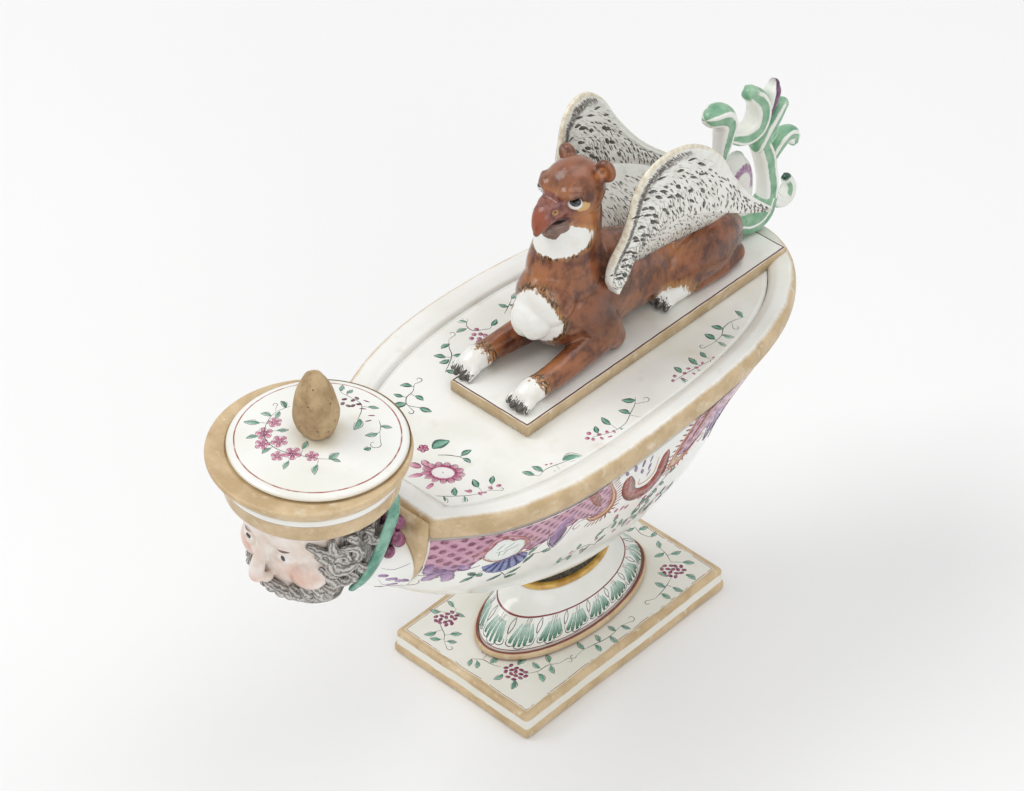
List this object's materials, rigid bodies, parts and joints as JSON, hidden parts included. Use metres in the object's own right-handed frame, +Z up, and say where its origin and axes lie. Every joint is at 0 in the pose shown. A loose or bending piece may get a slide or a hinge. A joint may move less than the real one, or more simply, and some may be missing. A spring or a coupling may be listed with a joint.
{
  "type": "ornamental porcelain lamp",
  "caption": "Boat-shaped porcelain oil lamp on an oval foot and plinth, with a lidded cup over a mask spout, a lying griffin on the deck and a scrolled handle.",
  "frame": {"origin": "centre of the plinth's underside", "axes": "+Z up; -Y is the spout end, with the mask and the lidded cup; +Y is the handle end; +X is the lamp's own left, the side turned to the viewer"},
  "size_m": [0.099, 0.2595, 0.1957],
  "materials": {
    "white_glaze": "glossy, painted sprays",
    "gilding": "satin gilding",
    "cement": "matt",
    "beak_enamel": "glossy",
    "feather_enamel": "glossy, brushed strokes",
    "purple_enamel": "glossy",
    "face_enamel": "glossy, shaded",
    "hair_enamel": "glossy, brushed",
    "biscuit": "matt, speckled",
    "green_enamel": "glossy",
    "chestnut_enamel": "glossy, brushed"
  },
  "bodies": {
    "lamp": {"plinth": "white_glaze", "foot_ring": "gilding", "foot": "white_glaze", "foot_collar": "gilding", "joint_bedding": "cement", "bowl_hull": "white_glaze", "bowl_rim": "gilding", "dish": "white_glaze", "griffin_slab": "white_glaze", "griffin_torso": "chestnut_enamel", "griffin_head": "chestnut_enamel", "griffin_neck": "chestnut_enamel", "griffin_upper_beak": "beak_enamel", "griffin_lower_beak": "beak_enamel", "griffin_ear_left": "chestnut_enamel", "griffin_foreleg_left": "chestnut_enamel", "griffin_forepaw_left": "white_glaze", "griffin_haunch_left": "chestnut_enamel", "griffin_shank_left": "chestnut_enamel", "griffin_hindpaw_left": "white_glaze", "griffin_ear_right": "chestnut_enamel", "griffin_foreleg_right": "chestnut_enamel", "griffin_forepaw_right": "white_glaze", "griffin_haunch_right": "chestnut_enamel", "griffin_shank_right": "chestnut_enamel", "griffin_hindpaw_right": "white_glaze", "griffin_tail": "chestnut_enamel", "griffin_wing_left": "feather_enamel", "griffin_wing_right": "feather_enamel", "handle_base": "green_enamel", "handle_stem": "green_enamel", "handle_crescent": "green_enamel", "handle_front_leaf": "green_enamel", "handle_diagonal_leaf": "green_enamel", "handle_bud": "purple_enamel", "handle_middle_leaf": "green_enamel", "handle_low_curl": "green_enamel", "handle_lobe": "white_glaze", "mask_head": "face_enamel", "bow_band": "gilding", "spout_neck": "white_glaze", "mask_beard": "hair_enamel", "mask_ribbon_left": "green_enamel", "mask_hair_left": "hair_enamel", "spout_grapes_left": "purple_enamel", "mask_ribbon_right": "green_enamel", "mask_hair_right": "hair_enamel", "spout_grapes_right": "purple_enamel", "spout_cup": "white_glaze", "cup_brim": "gilding"},
    "lid": {"lid": "white_glaze", "lid_finial": "biscuit"}
  },
  "joints": [
    {"name": "lid_lift", "type": "slide", "parent": "lamp", "child": "lid", "axis": [0, 0, 1], "range_m": [0, 0.045]}
  ]
}
